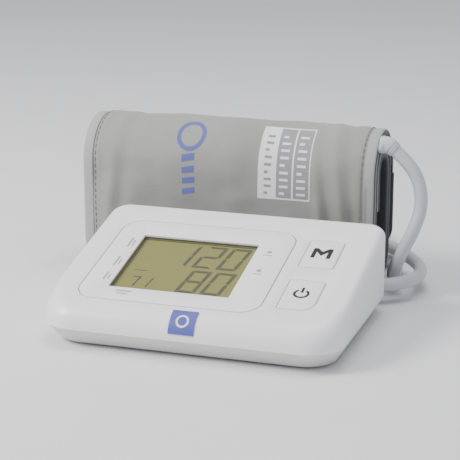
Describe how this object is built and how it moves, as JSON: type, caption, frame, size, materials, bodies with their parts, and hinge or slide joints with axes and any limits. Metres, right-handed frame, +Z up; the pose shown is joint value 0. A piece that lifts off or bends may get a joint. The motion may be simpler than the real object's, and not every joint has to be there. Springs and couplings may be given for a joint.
{
  "type": "blood pressure cuff",
  "caption": "Rolled upper-arm blood pressure cuff with its air hose, elbow plug and wedge-shaped digital monitor.",
  "frame": {"origin": "centre of the bounding box's bottom face, on the surface that the monitor's feet and the roll stand on, measured without the hose and its plug", "axes": "+X to the right as one reads the screen and along the roll, -Y towards the reader, +Z up"},
  "size_m": [0.1767, 0.2396, 0.08],
  "materials": {
    "case": "satin white",
    "case_side": "satin white, lower shell",
    "panel": "smooth white print film",
    "lens": "clear",
    "screen": "reflective liquid crystal, olive",
    "key": "satin white",
    "badge": "satin blue",
    "rubber": "matt",
    "pad": "matt silicone",
    "board": "solder mask green",
    "chip": "matt black",
    "steel": "satin",
    "nickel": "bright nickel",
    "cell": "gloss sleeve",
    "moulding": "natural",
    "fabric": "woven nylon, grey",
    "lining": "brushed nylon, dark",
    "tape": "woven tape",
    "bladder": "soft sheet",
    "loops": "loop pile",
    "hooks": "hook tape",
    "hose": "smooth light grey"
  },
  "bodies": {
    "monitor": {"upper_housing": "case", "lower_housing": "case_side", "display_panel": "panel", "display_window": "lens", "lcd_panel": "screen", "lcd_frame": "chip", "lcd_connectors": "pad", "circuit_board": "board", "board_screws": "steel", "button_pad": "pad", "tact_switches": "chip", "badge": "badge", "pump_motor": "steel", "pump_head": "moulding", "pump_diaphragm": "rubber", "air_manifold": "moulding", "exhaust_valve": "moulding", "pressure_sensor": "chip", "air_tubes": "hose", "air_socket": "moulding", "buzzer": "chip", "rubber_feet": "rubber", "case_screws": "steel", "batteries": "cell", "battery_contacts": "nickel"},
    "memory_key": {"m_button": "key"},
    "start_key": {"power_button": "key"},
    "door": {"battery_door": "case_side"},
    "crank": {"pump_crank": "steel"},
    "plunger": {"valve_plunger": "steel"},
    "cuff": {"cuff_cover": "fabric", "cuff_bladder": "bladder", "cuff_lining": "lining", "edge_bindings": "tape", "loop_patch": "loops", "bar_tab": "fabric", "hose_port": "hose", "air_hose": "hose", "air_plug": "hose", "plug_seal": "rubber"},
    "flap": {"closing_flap": "fabric", "hook_patch": "hooks"},
    "bar": {"d_bar": "nickel"}
  },
  "joints": [
    {"name": "plug_pull", "type": "slide", "parent": "monitor", "child": "cuff", "axis": [0, 1, 0], "range_m": [0, 0.03]},
    {"name": "memory_press", "type": "slide", "parent": "monitor", "child": "memory_key", "axis": [0, 0.2419, -0.9703], "range_m": [0, 0.0008], "stiffness_N_per_m": 1500, "springref_m": -0.0003},
    {"name": "start_press", "type": "slide", "parent": "monitor", "child": "start_key", "axis": [0, 0.2419, -0.9703], "range_m": [0, 0.0008], "stiffness_N_per_m": 1500, "springref_m": -0.0003},
    {"name": "door_slide", "type": "slide", "parent": "monitor", "child": "door", "axis": [-1, 0, 0], "range_m": [0, 0.012]},
    {"name": "crank_spin", "type": "hinge", "parent": "monitor", "child": "crank", "pos_m": [0.0186, -0.001, 0.0136], "axis": [1, 0, 0], "continuous": true},
    {"name": "valve_stroke", "type": "slide", "parent": "monitor", "child": "plunger", "axis": [0, 1, 0], "range_m": [0, 0.0008], "stiffness_N_per_m": 200, "springref_m": -0.0004},
    {"name": "flap_peel", "type": "hinge", "parent": "cuff", "child": "flap", "pos_m": [-0.0054, 0.0792, 0.0578], "axis": [1, 0, 0], "range_deg": [0, 110]},
    {"name": "bar_swing", "type": "hinge", "parent": "cuff", "child": "bar", "pos_m": [-0.0054, 0.0472, 0.0378], "axis": [1, 0, 0], "range_deg": [-3, 45]}
  ]
}
